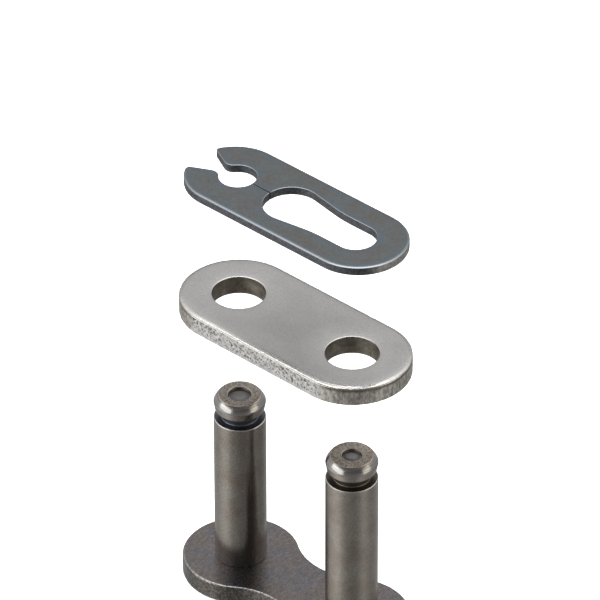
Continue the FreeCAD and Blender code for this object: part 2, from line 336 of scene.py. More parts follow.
def stamped(name, low, high, loops, rims, foots, squat, roll, relief, spacing=0.3, shelf=()):
    """Closed stamped plate: rounded rims, rough sheared walls and a surface that sinks near its outline.

    low and high are the CAD node's corners. rims and foots give each loop's rounding above and below,
    as one size or one at each point. squat is the upper rounding's height as a share of its width,
    roll is how deep and how far in the surface sinks towards the rim, shelf is how far inside the rim
    it is followed closely, and relief has one function per loop that gives the depth of the wall's
    pits, or None for a smooth wall."""
    points, faces, rim_marks, wall_marks, above, below, first = [], [], [], [], [], [], 0
    for loop, rim, foot, depth_at in zip(loops, rims, foots, relief):
        count, out, ahead = len(loop), outward(loop), np.roll(np.arange(len(loop)), -1)
        rim, foot = (np.ones(count) * size for size in (rim, foot))
        rows = wall_rows(high[2], low[2], rim, foot, squat, roll, shelf)
        rings = [np.column_stack([loop - out * inset[:, None], np.broadcast_to(level, count)])
                 for inset, level in rows]
        body = np.concatenate(rings)
        if depth_at:
            rough = slice(count * (len(shelf) + 3), -count * 2)
            body[rough, :2] -= np.tile(out, (len(rows), 1))[rough] * depth_at(body[rough])[:, None]
        points.append(body)
        rim_marks += [inset for inset, _ in rows]
        wall_marks += [np.clip(1 - inset / np.maximum(rim, 1e-6), 0, 1) for inset, _ in rows]
        here = first + np.arange(count)
        for start in range(0, count * (len(rows) - 1), count):
            quads = (here, here + count, first + ahead + count, first + ahead)
            faces += (np.column_stack(quads) + start).tolist()
        above.append((rings[0][:, :2], here))
        first += len(body)
        below.append((rings[-1][:, :2], first - count + np.arange(count)))
    deepest = max(float(np.max(size)) for size in [*rims, *foots])
    grid, away = face_grid(loops, spacing, deepest + max(shelf, default=0) + spacing * 0.5)
    for level, ends, (depth, reach) in ((high[2], above, roll), (low[2], below, (0, 1))):
        rings, index = zip(*ends)
        where = np.concatenate([*index, first + np.arange(len(grid))])
        faces += where[fill(rings, grid)].tolist()
        points.append(np.column_stack([grid, level - depth * np.exp(-(away - deepest) / reach)]))
        rim_marks.append(away)
        wall_marks.append(np.zeros(len(grid)))
        first += len(grid)
    mesh = bpy.data.meshes.new(name)
    mesh.from_pydata((np.concatenate(points) * MM).tolist(), [], faces)
    mark_points(mesh, "rim_distance", np.concatenate(rim_marks))
    mark_points(mesh, "wall", np.concatenate(wall_marks))
    return finished(name, mesh)


def mark_points(mesh, mark, values):
    """Stores one value for each point, for the finish to read."""
    layer = mesh.attributes.new(mark, "FLOAT", "POINT")
    layer.data.foreach_set("value", np.ascontiguousarray(values, dtype=np.float32))


def mark_bores(mesh, reach):
    """Marks the points round each hole, so that the finish can tell a bore from the outer wall."""
    place = np.zeros(len(mesh.vertices) * 3)
    mesh.vertices.foreach_get("co", place)
    x, y, _ = place.reshape(-1, 3).T / MM
    mark_points(mesh, "bored", np.hypot(np.abs(x) - HALF_PITCH, y) < reach)


def placed(name, data):
    """New object in the scene."""
    thing = bpy.data.objects.new(name, data)
    bpy.context.scene.collection.objects.link(thing)
    return thing


def finished(name, mesh):
    """Smooth-shaded object from a closed mesh, with faces turned outwards and sharp corners."""
    tidy = bmesh.new()
    tidy.from_mesh(mesh)
    bmesh.ops.recalc_face_normals(tidy, faces=tidy.faces)
    loose = sum(not edge.is_manifold for edge in tidy.edges)
    tidy.to_mesh(mesh)
    tidy.free()
    if loose:
        raise RuntimeError("%s has %d open edges" % (name, loose))
    mesh.shade_smooth()
    mesh.set_sharp_from_angle(angle=math.radians(42))
    return placed(name, mesh)


def dress(piece, material, node, body):
    """Gives a piece its finish and puts it in the CAD node's place."""
    piece.data.materials.clear()
    piece.data.materials.append(material)
    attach(piece, body)
    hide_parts(node)


# Finishes

# Settings of a Mix node that lays one colour over another, and of one that multiplies them.
BLEND = {"give": 2, "data_type": "RGBA"}
TIMES = {**BLEND, "blend_type": "MULTIPLY"}


def add(tree, kind, inputs=None, give=0, stops=(), **settings):
    """Adds a node with its settings, values and links, and returns the output that the next node takes."""
    node = tree.nodes.new(kind)
    for name, value in settings.items():
        setattr(node, name, value)
    while stops and len(node.color_ramp.elements) < len(stops):
        node.color_ramp.elements.new(1.0)
    for element, (place, level) in zip(node.color_ramp.elements if stops else (), stops):
        element.position = place
        element.color = (level, level, level, 1.0)
    for key, value in (inputs or {}).items():
        if isinstance(value, bpy.types.NodeSocket):
            tree.links.new(value, node.inputs[key])
        else:
            node.inputs[key].default_value = value
    return node.outputs[give] if len(node.outputs) else None


def bare_tree(owner):
    """Emptied node tree of a material or a world."""
    owner.use_nodes = True
    owner.node_tree.nodes.clear()
    return owner.node_tree


def steel(name):
    """Metal material with its tree, its shader and the piece's own coordinates."""
    material = bpy.data.materials.new(name)
    tree = bare_tree(material)
    surface = add(tree, "ShaderNodeBsdfPrincipled", {"Metallic": 1.0})
    add(tree, "ShaderNodeOutputMaterial", {"Surface": surface})
    return material, tree, surface.node, add(tree, "ShaderNodeTexCoord", give="Object")


def per_mm(size):
    """Noise scale whose features are about this many millimetres across."""
    return 1 / (size * MM)


def finish(tree, shader, skin, tones, coats, rough, wear, bump):
    """Completes a steel: tones shade the skin, then coats lie over it, and wear sets the roughness.

    Each coat is a mask with a colour, and each wear a mask with a roughness."""
    for tone in tones:
        skin = add(tree, "ShaderNodeMix", {0: 1.0, 6: skin, 7: tone}, **TIMES)
    for mask, coat in coats:
        skin = add(tree, "ShaderNodeMix", {0: mask, 6: skin, 7: coat}, **BLEND)
    for mask, level in wear:
        rough = add(tree, "ShaderNodeMix", {0: mask, 2: rough, 3: level})
    for key, socket in (("Base Color", skin), ("Roughness", rough), ("Normal", bump)):
        tree.links.new(socket, shader.inputs[key])


def plate_steel(colours):
    """Mild steel plate, fine-blanked, hardened and tumbled pale.

    Tumbling leaves a matt, very fine grain on the faces, rubs them lighter towards the rims and
    polishes the rims, which draw a white line. The sheared wall keeps scale in its pits, so it
    sparkles black and white as far as the corners. The round ends show upright streaks under a brown
    line, and the bores stay dark and brown."""
    material, tree, shader, here = steel("Tumbled blanked steel")
    wall, bored, edge = (add(tree, "ShaderNodeAttribute", give="Fac", attribute_name=mark)
                         for mark in ("wall", "bored", "rim_distance"))
    apart = add(tree, "ShaderNodeSeparateXYZ", {0: here}).node.outputs
    upright = add(tree, "ShaderNodeMapping", {"Vector": here, "Scale": (1, 1, 0.45)})
    grain, cloud, pits, patchy, streaks = (
        add(tree, "ShaderNodeTexNoise",
            {"Vector": place, "Scale": per_mm(size), "Detail": detail, "Roughness": jag})
        for place, size, detail, jag in (
            (here, 0.15, 2, 0.6), (here, 4.5, 2, 0.5), (here, 0.24, 3, 0.7), (here, 0.6, 3, 0.6),
            (upright, 0.3, 4, 0.75)))
    along = add(tree, "ShaderNodeMath", {0: apart["X"]}, operation="ABSOLUTE")
    sheared, clean, line = (
        add(tree, "ShaderNodeMapRange", {0: measured, 1: start * MM, 2: end * MM, 3: first, 4: last})
        for measured, start, end, first, last in (
            (along, 6.8, 7.8, 1, 0),
            (apart["Z"], PLATE_LOW[2] + 0.3, PLATE_LOW[2] + 0.5, 0.75, 0),
            (apart["Z"], PLATE_HIGH[2] - 0.52, PLATE_HIGH[2] - 0.34, 0, 0.75)))
    mark, haze, smear, streak, fine_tone, soft_tone, rim, turned_in = (
        add(tree, "ShaderNodeValToRGB", {0: level}, stops=stops) for level, stops in (
            (pits, [(0.38, 0), (0.53, 1)]), (patchy, [(0.42, 0), (0.6, 0.4)]),
            (patchy, [(0.35, 0), (0.65, 1)]), (streaks, [(0.35, 0), (0.65, 1)]),
            (grain, [(0.3, 0.9), (0.7, 1)]), (cloud, [(0.35, 0.93), (0.65, 1.03)]),
            (wall, [(0.2, 0), (0.6, 1), (0.95, 1), (1, 0)]), (wall, [(0.96, 0), (1, 1)])))
    mark = add(tree, "ShaderNodeMath", {0: mark, 1: clean}, operation="MAXIMUM")
    flank = add(tree, "ShaderNodeMix", {0: mark, 6: colours.plate_pit, 7: linear("#F0EEEA")}, **BLEND)
    flank = add(tree, "ShaderNodeMix", {0: haze, 6: flank, 7: linear("#B4B4B6")}, **BLEND)
    ends = add(tree, "ShaderNodeMix", {0: streak, 6: linear("#8E877C"), 7: linear("#E9E5DE")}, **BLEND)
    ends = add(tree, "ShaderNodeMix", {0: line, 6: ends, 7: linear("#6C6152")}, **BLEND)
    holes = add(tree, "ShaderNodeMix", {0: smear, 6: linear("#6A645B"), 7: linear("#8D8679")}, **BLEND)
    walls = add(tree, "ShaderNodeMix", {0: sheared, 6: ends, 7: flank}, **BLEND)
    walls = add(tree, "ShaderNodeMix", {0: bored, 6: walls, 7: holes}, **BLEND)
    rubbed = add(tree, "ShaderNodeMapRange", {0: edge, 1: 0.4, 2: 2.6, 3: 1.16, 4: 1})
    rough = add(tree, "ShaderNodeMapRange", {0: grain, 3: 0.24, 4: 0.34})
    fine = add(tree, "ShaderNodeBump", {"Height": grain, "Strength": 0.2, "Distance": 0.012 * MM})
    rugged = add(tree, "ShaderNodeMath", {0: turned_in, 1: sheared}, operation="MULTIPLY")
    deep = add(tree, "ShaderNodeBump",
               {"Height": pits, "Strength": rugged, "Distance": 0.04 * MM, "Normal": fine})
    finish(tree, shader, colours.plate, (fine_tone, soft_tone, rubbed),
           ((turned_in, walls), (rim, linear("#D0CDC8"))), rough, ((turned_in, 0.42), (rim, 0.24)), deep)
    return material


def clip_steel(colours):
    """Carbon spring strip, stamped, austempered and barrel-polished.

    Tempering turns it slate grey with faint brown clouds and a breath of blue that drifts along the
    rims. The polish leaves the face smooth and rubs the rims bare, so they draw one thin bright line,
    and the nose is rubbed pale."""
    material, tree, shader, here = steel("Tempered spring steel")
    edge, wall = (add(tree, "ShaderNodeAttribute", give="Fac", attribute_name=mark)
                  for mark in ("rim_distance", "wall"))
    cloud, grain = (
        add(tree, "ShaderNodeTexNoise",
            {"Vector": here, "Scale": per_mm(size), "Detail": detail, "Roughness": jag})
        for size, detail, jag in ((2, 6, 0.65), (0.3, 4, 0.7)))
    along = add(tree, "ShaderNodeSeparateXYZ", {0: here})
    nosed = add(tree, "ShaderNodeMapRange", {0: along, 1: 10.3 * MM, 2: 10.8 * MM})
    brown, drift, tone, mottle, rim, turned_in = (
        add(tree, "ShaderNodeValToRGB", {0: level}, stops=stops) for level, stops in (
            (cloud, [(0.42, 0), (0.62, 1)]), (cloud, [(0.38, 1), (0.6, 0.35)]),
            (grain, [(0.32, 0.88), (0.68, 1)]), (grain, [(0.42, 0), (0.58, 1)]),
            (wall, [(0.3, 0), (0.6, 1), (0.95, 1), (1, 0)]), (wall, [(0.96, 0), (1, 1)])))
    near_rim = add(tree, "ShaderNodeMapRange", {0: edge, 1: 0.1, 2: 1, 3: 0.85, 4: 0},
                   interpolation_type="SMOOTHSTEP")
    blue = add(tree, "ShaderNodeMath", {0: near_rim, 1: drift}, operation="MULTIPLY")
    skin = add(tree, "ShaderNodeMix", {0: brown, 6: colours.clip, 7: colours.clip_brown}, **BLEND)
    skin = add(tree, "ShaderNodeMix", {0: blue, 6: skin, 7: colours.clip_blue}, **BLEND)
    sheared = add(tree, "ShaderNodeMix", {0: mottle, 6: linear("#5A5B5E"), 7: linear("#707276")}, **BLEND)
    nose = add(tree, "ShaderNodeMix", {0: mottle, 6: linear("#99958F"), 7: linear("#BAB7B1")}, **BLEND)
    sheared = add(tree, "ShaderNodeMix", {0: nosed, 6: sheared, 7: nose}, **BLEND)
    rough = add(tree, "ShaderNodeMapRange", {0: grain, 3: 0.24, 4: 0.32})
    fine = add(tree, "ShaderNodeBump", {"Height": grain, "Strength": 0.1, "Distance": 0.010 * MM})
    finish(tree, shader, skin, (tone,), ((turned_in, sheared), (rim, linear("#989EA2"))),
           rough, ((turned_in, 0.42), (rim, 0.26)), fine)
    return material


def pin_steel(colours, name, x, dimple_radius, satin, bright, groove_tint):
    """Case-hardened alloy steel pin, centreless-ground shaft and turned head.

    Grinding leaves a satin shaft that draws tall soft reflections, and the side that faces the other
    pin is painted darker, as painted shade for that pin's shade and dark reflection. The head is upset
    and turned: its flat top has short radial strokes, its shoulder shows the lathe's lines and is
    rubbed bare up to a thin bronze rim, and the clip groove and the dimple keep the dark skin of
    hardening. Painted shade lies over that skin: the groove is painted darker at its floor and under
    the head around a painted highlight, the dimple's wall is painted dark and its floor darker
    towards its edge."""
    material, tree, shader, here = steel(name)
    centred = add(tree, "ShaderNodeMapping", {"Vector": here, "Location": (-x * MM, 0, 0)})
    apart = add(tree, "ShaderNodeSeparateXYZ", {0: centred}).node.outputs
    height = apart["Z"]
    turn = add(tree, "ShaderNodeMath", {0: apart["Y"], 1: apart["X"]}, operation="ARCTAN2")
    flat = add(tree, "ShaderNodeCombineXYZ", {0: apart["X"], 1: apart["Y"]})
    away = add(tree, "ShaderNodeVectorMath", {0: flat}, give="Value", operation="LENGTH")
    swept, outwards, climb, inwards = (
        add(tree, "ShaderNodeMath", {0: measured, 1: share}, operation="MULTIPLY") for measured, share in (
            (turn, 8), (away, per_mm(1.1)), (height, per_mm(0.13)), (apart["X"], -math.copysign(1, x))))
    spokes = add(tree, "ShaderNodeCombineXYZ", {0: swept, 1: outwards})
    lathe = add(tree, "ShaderNodeCombineXYZ", {0: climb, 1: turn})
    grain, cloud, strokes, lines = (
        add(tree, "ShaderNodeTexNoise", {"Vector": place, "Scale": scale, "Detail": detail, "Roughness": jag})
        for place, scale, detail, jag in (
            (here, per_mm(0.17), 3, 0.65), (here, per_mm(1.8), 3, 0.6), (spokes, 1, 3, 0.75),
            (lathe, 1, 2, 0.6)))
    # Hard masks: one side of a height or a radius.
    high, near_top, over, under, within, inner, outer, sunken = (
        add(tree, "ShaderNodeMath", {0: measured, 1: limit * MM}, operation=side)
        for measured, side, limit in (
            (height, "GREATER_THAN", HEAD_TOP - 0.02), (height, "GREATER_THAN", HEAD_TOP - 0.1),
            (height, "GREATER_THAN", SHAFT_TOP - 0.03), (height, "LESS_THAN", HEAD_BOTTOM + 0.02),
            (away, "LESS_THAN", HEAD_FLAT - 0.02), (away, "LESS_THAN", PIN_RADIUS - 0.07),
            (away, "GREATER_THAN", PIN_RADIUS - 0.07), (away, "LESS_THAN", dimple_radius - 0.12)))
    # Soft masks: from one level to another between two heights or radii.
    # The last soft mask is painted shade: it darkens the side towards the other pin to 0.78, for that pin's
    # shade and dark reflection on it.
    climbed, head, shoulder, floor, painted_shade_facing_pin = (
        add(tree, "ShaderNodeMapRange", {0: measured, 1: start * MM, 2: end * MM, 3: first, 4: last})
        for measured, start, end, first, last in (
            (height, SHAFT_TOP, HEAD_BOTTOM, 0, 1), (height, HEAD_TOP - 0.75, HEAD_TOP - 0.6, 0, 1),
            (away, HEAD_FLAT + 0.01, HEAD_FLAT + 0.05, 0, 1),
            (away, dimple_radius - 0.5, dimple_radius - 0.2, 0.5, 1), (inwards, 1.2, 1.85, 1, 0.78)))
    # Thin bands on both sides of a height or a radius.
    bands = []
    for measured, middle, full, gone, level in (
            (away, HEAD_FLAT + 0.03, 0.02, 0.045, 1), (away, dimple_radius + 0.045, 0.02, 0.045, 1),
            (away, dimple_radius - 0.045, 0.03, 0.06, 0.85), (height, SHAFT_TOP - 0.02, 0.05, 0.08, 1)):
        off = add(tree, "ShaderNodeMath", {0: measured, 1: middle * MM}, operation="SUBTRACT")
        off = add(tree, "ShaderNodeMath", {0: off}, operation="ABSOLUTE")
        bands.append(add(tree, "ShaderNodeMapRange", {0: off, 1: full * MM, 2: gone * MM, 3: level, 4: 0}))
    worn = add(tree, "ShaderNodeMath", {0: bands[0], 1: bands[1]}, operation="MAXIMUM")
    regions = []
    for mask, *others in ((high, within), (inner, under, over), (worn, near_top), (shoulder, head),
                          (floor, head, sunken), (bands[2], head), (bands[3], outer)):
        for other in others:
            mask = add(tree, "ShaderNodeMath", {0: mask, 1: other}, operation="MULTIPLY")
        regions.append(mask)
    top, groove, worn, shoulder, floor, shaded_dimple_wall, lip = regions
    # The first ramp paints light into the groove: painted shade in the corner at its floor and up under the
    # head, with a painted highlight just above the floor.
    shade, brown, tone, marks, speck = (
        add(tree, "ShaderNodeValToRGB", {0: level}, stops=stops) for level, stops in (
            (climbed, [(0.01, 0.35), (0.03, 1), (0.12, 0.85), (0.25, 0.4)]), (cloud, [(0.4, 0), (0.65, 0.7)]),
            (grain, [(0.3, 0.7 * bright), (0.7, 1.03 * bright)]), (strokes, [(0.36, 0.7), (0.5, 1.05)]),
            (grain, [(0.4, 0.68), (0.58, 1.15)])))
    dark = add(tree, "ShaderNodeMix", {0: 1, 6: linear(groove_tint), 7: shade}, **TIMES)
    turned = add(tree, "ShaderNodeMix", {0: lines, 6: linear("#55524E"), 7: linear("#E6E3DF")}, **BLEND)
    skin = add(tree, "ShaderNodeMix", {0: brown, 6: colours.pin, 7: colours.pin_brown}, **BLEND)
    marks = add(tree, "ShaderNodeMix", {0: 1, 6: marks, 7: speck}, **TIMES)
    marked = add(tree, "ShaderNodeMix", {0: top, 6: linear("#FFFFFF"), 7: marks}, **BLEND)
    rough = add(tree, "ShaderNodeMapRange", {0: grain, 3: satin - 0.05, 4: satin + 0.05})
    fine = add(tree, "ShaderNodeBump", {"Height": grain, "Strength": 0.25, "Distance": 0.010 * MM})
    cut = add(tree, "ShaderNodeBump",
              {"Height": strokes, "Strength": top, "Distance": 0.02 * MM, "Normal": fine})
    # The dimple wall's dark coat is painted shade over the dark skin, and the floor coat is painted shade
    # that deepens towards the floor's edge.
    coats = ((groove, dark), (shaded_dimple_wall, linear("#4B4640")), (floor, linear("#5F6167")), (shoulder, turned),
             (lip, linear("#D2CFCA")), (worn, linear("#BDADA0")))
    finish(tree, shader, skin, (tone, marked, painted_shade_facing_pin), coats,
           rough, ((top, 0.34), (groove, 0.38), (shaded_dimple_wall, 0.5), (shoulder, 0.22)), cut)
    return material


def base_steel(colours):
    """Hardened steel plate with its heat-treatment colour left on.

    The oxide is dark violet grey with blue and brown tints in clouds, smooth enough to mirror the
    pins. Grinding before hardening left fine scratches one way across it, and tumbling has worn small
    bright nicks into the rim."""
    material, tree, shader, here = steel("Heat-tinted hardened steel")
    edge, wall = (add(tree, "ShaderNodeAttribute", give="Fac", attribute_name=mark)
                  for mark in ("rim_distance", "wall"))
    laid = add(tree, "ShaderNodeMapping", {"Vector": here, "Rotation": (0, 0, math.radians(35)),
                                           "Scale": (1, 0.2, 1)})
    cloud, grain, scratches = (
        add(tree, "ShaderNodeTexNoise",
            {"Vector": place, "Scale": per_mm(size), "Detail": detail, "Roughness": jag})
        for place, size, detail, jag in (
            (here, 2.4, 6, 0.7), (here, 0.2, 4, 0.75), (laid, 0.12, 3, 0.7)))
    other = add(tree, "ShaderNodeTexNoise", {"Vector": here, "W": 3, "Scale": per_mm(2.8), "Detail": 6,
                                             "Roughness": 0.7}, noise_dimensions="4D")
    blue, brown, tone, scored, speck, turned_in = (
        add(tree, "ShaderNodeValToRGB", {0: level}, stops=stops) for level, stops in (
            (cloud, [(0.42, 0), (0.66, 0.85)]), (other, [(0.42, 0), (0.66, 0.85)]),
            (grain, [(0.32, 0.66), (0.68, 1.08)]), (scratches, [(0.36, 0.78), (0.64, 1.12)]),
            (grain, [(0.42, 0), (0.6, 1)]), (wall, [(0.75, 0), (1, 1)])))
    skin = add(tree, "ShaderNodeMix", {0: blue, 6: colours.base, 7: colours.base_blue}, **BLEND)
    skin = add(tree, "ShaderNodeMix", {0: brown, 6: skin, 7: colours.base_brown}, **BLEND)
    walls = add(tree, "ShaderNodeMix", {0: speck, 6: linear("#55524E"), 7: linear("#86817B")}, **BLEND)
    above = add(tree, "ShaderNodeMath", {0: 1, 1: turned_in}, operation="SUBTRACT")
    nicked = add(tree, "ShaderNodeMapRange", {0: edge, 1: 0.05, 2: 0.24, 3: 1, 4: 0})
    for mask in (speck, above):
        nicked = add(tree, "ShaderNodeMath", {0: nicked, 1: mask}, operation="MULTIPLY")
    rough = add(tree, "ShaderNodeMapRange", {0: grain, 3: 0.2, 4: 0.32})
    fine = add(tree, "ShaderNodeBump", {"Height": scratches, "Strength": 0.2, "Distance": 0.008 * MM})
    finish(tree, shader, skin, (tone, scored), ((turned_in, walls), (nicked, linear("#BDB9B3"))),
           rough, (), fine)
    return material


# Pins

# Millimetres and degrees. Rows near the edges of a long face keep it evenly shaded, and the chatter
# is a share of the radius.
TAIL_CHAMFER, FOOT_CHAMFER = 0.25, 0.03
BRIM, LOWER_CORNER, UPPER_CORNER = 0.08, 0.06, 0.08
BELLY, BELLY_HEIGHT, SHOULDER, SHOULDER_TURN = 0.3, HEAD_TOP - 0.719, 2.16, 24.0
DIMPLE_DEPTH, CROWN = 0.22, 0.07
NEAR_EDGE, SHAFT_ROWS = 0.12, 36
HUB, CHATTER = 0.5, 0.0006


def rounded(centre, radius, start, end, count=6):
    """Arc in a profile, as points from one angle to another."""
    turns = np.radians(np.linspace(start, end, count))
    return [(centre[0] + radius * math.cos(t), centre[1] + radius * math.sin(t)) for t in turns]


def pin_profile(dimple_radius):
    """Half section of a pin from its tail to the middle of its dimple, as radius and height."""
    tail = float(PIN_LOW[2])
    corners = [(0, tail), (0.3, tail), (PRESSED_RADIUS - TAIL_CHAMFER, tail),
               (PRESSED_RADIUS, tail + TAIL_CHAMFER), (PRESSED_RADIUS, SHAFT_FOOT),
               (PIN_RADIUS - FOOT_CHAMFER, SHAFT_FOOT), (PIN_RADIUS, SHAFT_FOOT + FOOT_CHAMFER)]
    rows = np.linspace(SHAFT_FOOT + NEAR_EDGE, SHAFT_TOP - NEAR_EDGE, SHAFT_ROWS)
    corners += [(PIN_RADIUS, z) for z in rows]
    corners += rounded((PIN_RADIUS - BRIM, SHAFT_TOP - BRIM), BRIM, 0, 90)
    corners += [(PIN_RADIUS - NEAR_EDGE, SHAFT_TOP), (GROOVE_RADIUS + 0.2, SHAFT_TOP)]
    corners += rounded((GROOVE_RADIUS + LOWER_CORNER, SHAFT_TOP + LOWER_CORNER), LOWER_CORNER, 270, 180)
    corners += rounded((GROOVE_RADIUS + UPPER_CORNER, HEAD_BOTTOM - UPPER_CORNER), UPPER_CORNER, 180, 90)
    corners += [(PIN_RADIUS - 0.25, HEAD_BOTTOM)]
    corners += rounded((PIN_RADIUS - 0.19, HEAD_BOTTOM + BRIM), BRIM, -90, 0)
    corners += rounded((PIN_RADIUS - BELLY, BELLY_HEIGHT), BELLY, -11, SHOULDER_TURN, 12)
    turn = math.radians(SHOULDER_TURN)
    middle = (corners[-1][0] - SHOULDER * math.cos(turn), corners[-1][1] - SHOULDER * math.sin(turn))
    corners += rounded(middle, SHOULDER, SHOULDER_TURN + 1.5, 42, 12)
    corners += [(HEAD_FLAT, HEAD_TOP), (HEAD_FLAT - 0.02, HEAD_TOP)]
    corners += [(r, HEAD_TOP) for r in np.linspace(HEAD_FLAT - 0.2, dimple_radius + 0.11, 4)]
    corners += [(dimple_radius + out, HEAD_TOP - down)
                for out, down in ((0.08, 0), (0.035, 0.025), (0, 0.07))]
    floor = dimple_radius - 0.08
    corners += list(zip(np.linspace(dimple_radius - 0.01, floor, 4),
                        np.linspace(HEAD_TOP - 0.08, HEAD_TOP - DIMPLE_DEPTH, 4)))
    crown = HEAD_TOP - DIMPLE_DEPTH + CROWN
    corners += [(r, crown - CROWN * (r / floor) ** 2) for r in np.linspace(floor * 0.97, 0.1, 8)]
    return corners + [(0, crown)]


def turning_tree(material):
    """Geometry nodes that turn a half section about a pin's axis and leave the lathe's faint waves in it."""
    tree = bpy.data.node_groups.new("Turned pin", "GeometryNodeTree")
    sockets = {}
    for name, kind in (("Section", "Geometry"), ("Steps around", "Int"), ("Axis", "Vector"), ("Hub", "Float"),
                       ("Wave", "Float")):
        sockets[name] = tree.interface.new_socket(name=name, in_out="INPUT", socket_type="NodeSocket" + kind)
    tree.interface.new_socket(name="Pin", in_out="OUTPUT", socket_type="NodeSocketGeometry")
    given = add(tree, "NodeGroupInput").node.outputs
    section = add(tree, "GeometryNodeMeshToCurve", {0: given["Section"]})
    ring = add(tree, "GeometryNodeCurvePrimitiveCircle",
               {"Resolution": given["Steps around"], "Radius": given["Hub"]})
    upright = add(tree, "GeometryNodeSetCurveNormal", {0: ring}, mode="Z_UP")
    turned = add(tree, "GeometryNodeCurveToMesh", {0: upright, "Profile Curve": section})
    welded = add(tree, "GeometryNodeMergeByDistance", {"Geometry": turned, "Distance": 1e-7})
    place = add(tree, "GeometryNodeInputPosition")
    chatter = add(tree, "ShaderNodeTexNoise", {"Vector": place, "Scale": per_mm(0.9), "Detail": 2.0})
    centred = add(tree, "ShaderNodeMath", {0: chatter, 1: 0.5}, operation="SUBTRACT")
    depth = add(tree, "ShaderNodeMath", {0: centred, 1: given["Wave"]}, operation="MULTIPLY")
    radial = add(tree, "ShaderNodeVectorMath", {0: place, 1: (1, 1, 0)}, operation="MULTIPLY")
    inward = add(tree, "ShaderNodeVectorMath", {0: radial, "Scale": depth}, operation="SCALE")
    waved = add(tree, "GeometryNodeSetPosition", {"Geometry": welded, "Offset": inward})
    stood = add(tree, "GeometryNodeTransform", {"Geometry": waved, "Translation": given["Axis"]})
    plain = add(tree, "GeometryNodeRealizeInstances", {0: stood})
    dressed = add(tree, "GeometryNodeSetMaterial", {"Geometry": plain, "Material": material})
    add(tree, "NodeGroupOutput", {"Pin": dressed})
    return tree, {name: socket.identifier for name, socket in sockets.items()}


def turned_pin(name, material, x, dimple_radius, around):
    """Turns one pin from its half section and keeps the result as a plain mesh.

    The section follows a small ring round the axis, so it is drawn from that hub outwards."""
    corners = pin_profile(dimple_radius)
    section = bpy.data.meshes.new(name + "_section")
    section.from_pydata([((r - HUB) * MM, -z * MM, 0) for r, z in corners],
                        [(i, i + 1) for i in range(len(corners) - 1)], [])
    maker = placed(name + "_maker", section)
    tree, sockets = turning_tree(material)
    turning = maker.modifiers.new("Turned pin", "NODES")
    turning.node_group = tree
    for socket, value in (("Steps around", around), ("Axis", (x * MM, 0.0, 0.0)), ("Hub", HUB * MM),
                          ("Wave", CHATTER)):
        turning[sockets[socket]] = value
    ready = maker.evaluated_get(bpy.context.evaluated_depsgraph_get())
    mesh = bpy.data.meshes.new_from_object(ready)
    bpy.data.objects.remove(maker)
    mesh.name = name
    return finished(name, mesh)


# Each pin's node, place, dimple radius, roughness, brightness and the tint of its groove.
PINS = (("pin_left", -HALF_PITCH, 0.97, 0.25, 0.87, "#A2A5B0"),
        ("pin_right", HALF_PITCH, 0.83, 0.31, 1.0, "#A79B8F"))


class LINK_OT_base_plate(bpy.types.Operator):
    """Builds the waisted base plate that carries the two pins"""
    bl_idname = "link.base_plate"
    bl_label = "Base plate"

    def execute(self, context):
        link = context.scene.link_sizes
        loops = [base_outline(step=0.07), *bores(PRESSED_RADIUS, step=0.12)]
        rims = [link.base_rounding / MM, 0.02, 0.02]
        nicks = pitted(link.nick_depth / MM, size=0.5, seed=1)
        plate = stamped("base_plate_steel", BASE_LOW, BASE_HIGH, loops, rims, [rim * 0.8 for rim in rims],
                        squat=0.8, roll=(0, 0.3), relief=[nicks, None, None], shelf=(0.3, 0.12))
        dress(plate, base_steel(context.scene.link_colours), "base_plate", "base")
        return {"FINISHED"}


class LINK_OT_pins(bpy.types.Operator):
    """Turns the two grooved pins"""
    bl_idname = "link.pins"
    bl_label = "Pins"

    def execute(self, context):
        for node, x, dimple_radius, *look in PINS:
            name = "Ground hardened steel, " + node.replace("_", " ")
            material = pin_steel(context.scene.link_colours, name, x, dimple_radius, *look)
            pin = turned_pin(node + "_turned", material, x, dimple_radius, context.scene.link_sizes.around)
            dress(pin, material, node, "base")
        return {"FINISHED"}


class LINK_OT_link_plate(bpy.types.Operator):
    """Builds the loose link plate with its two holes"""
    bl_idname = "link.link_plate"
    bl_label = "Link plate"

    def execute(self, context):
        link = context.scene.link_sizes
        loops = [plate_outline(step=0.06), *bores(PLATE_HOLE_RADIUS, step=0.08)]
        rims, foots = [link.plate_rounding / MM, 0.13, 0.13], [0.12, 0.12, 0.12]
        pits = pitted(link.pit_depth / MM, size=0.4, seed=2, lift=0.1)
        drawn = pitted(depth=0.006, size=0.6, seed=3)
        plate = stamped("link_plate_steel", PLATE_LOW, PLATE_HIGH, loops, rims, foots, squat=0.44,
                        roll=(0.015, 0.25), relief=[pits, drawn, drawn],
                        shelf=(0.7, 0.45, 0.3, 0.2, 0.12, 0.06))
        mark_bores(plate.data, reach=PLATE_HOLE_RADIUS + 0.3)
        dress(plate, plate_steel(context.scene.link_colours), "link_plate", "link_plate")
        return {"FINISHED"}


class LINK_OT_spring_clip(bpy.types.Operator):
    """Builds the spring clip with its keyhole, its slit and its sprung mouth"""
    bl_idname = "link.spring_clip"
    bl_label = "Spring clip"

    def execute(self, context):
        outline, rim = clip_outline(step=0.07, rounding=context.scene.link_sizes.clip_rounding / MM)
        foot = np.minimum(rim, 0.06)
        sheared = pitted(depth=0.008, size=0.3, seed=4, bare=0.2)
        clip = stamped("spring_clip_steel", CLIP_LOW, CLIP_HIGH, [outline], [rim], [foot],
                       squat=0.3, roll=(0, 0.3), relief=[sheared], spacing=0.25)
        dress(clip, clip_steel(context.scene.link_colours), "spring_clip", "spring_clip")
        return {"FINISHED"}


# Studio, in millimetres and degrees

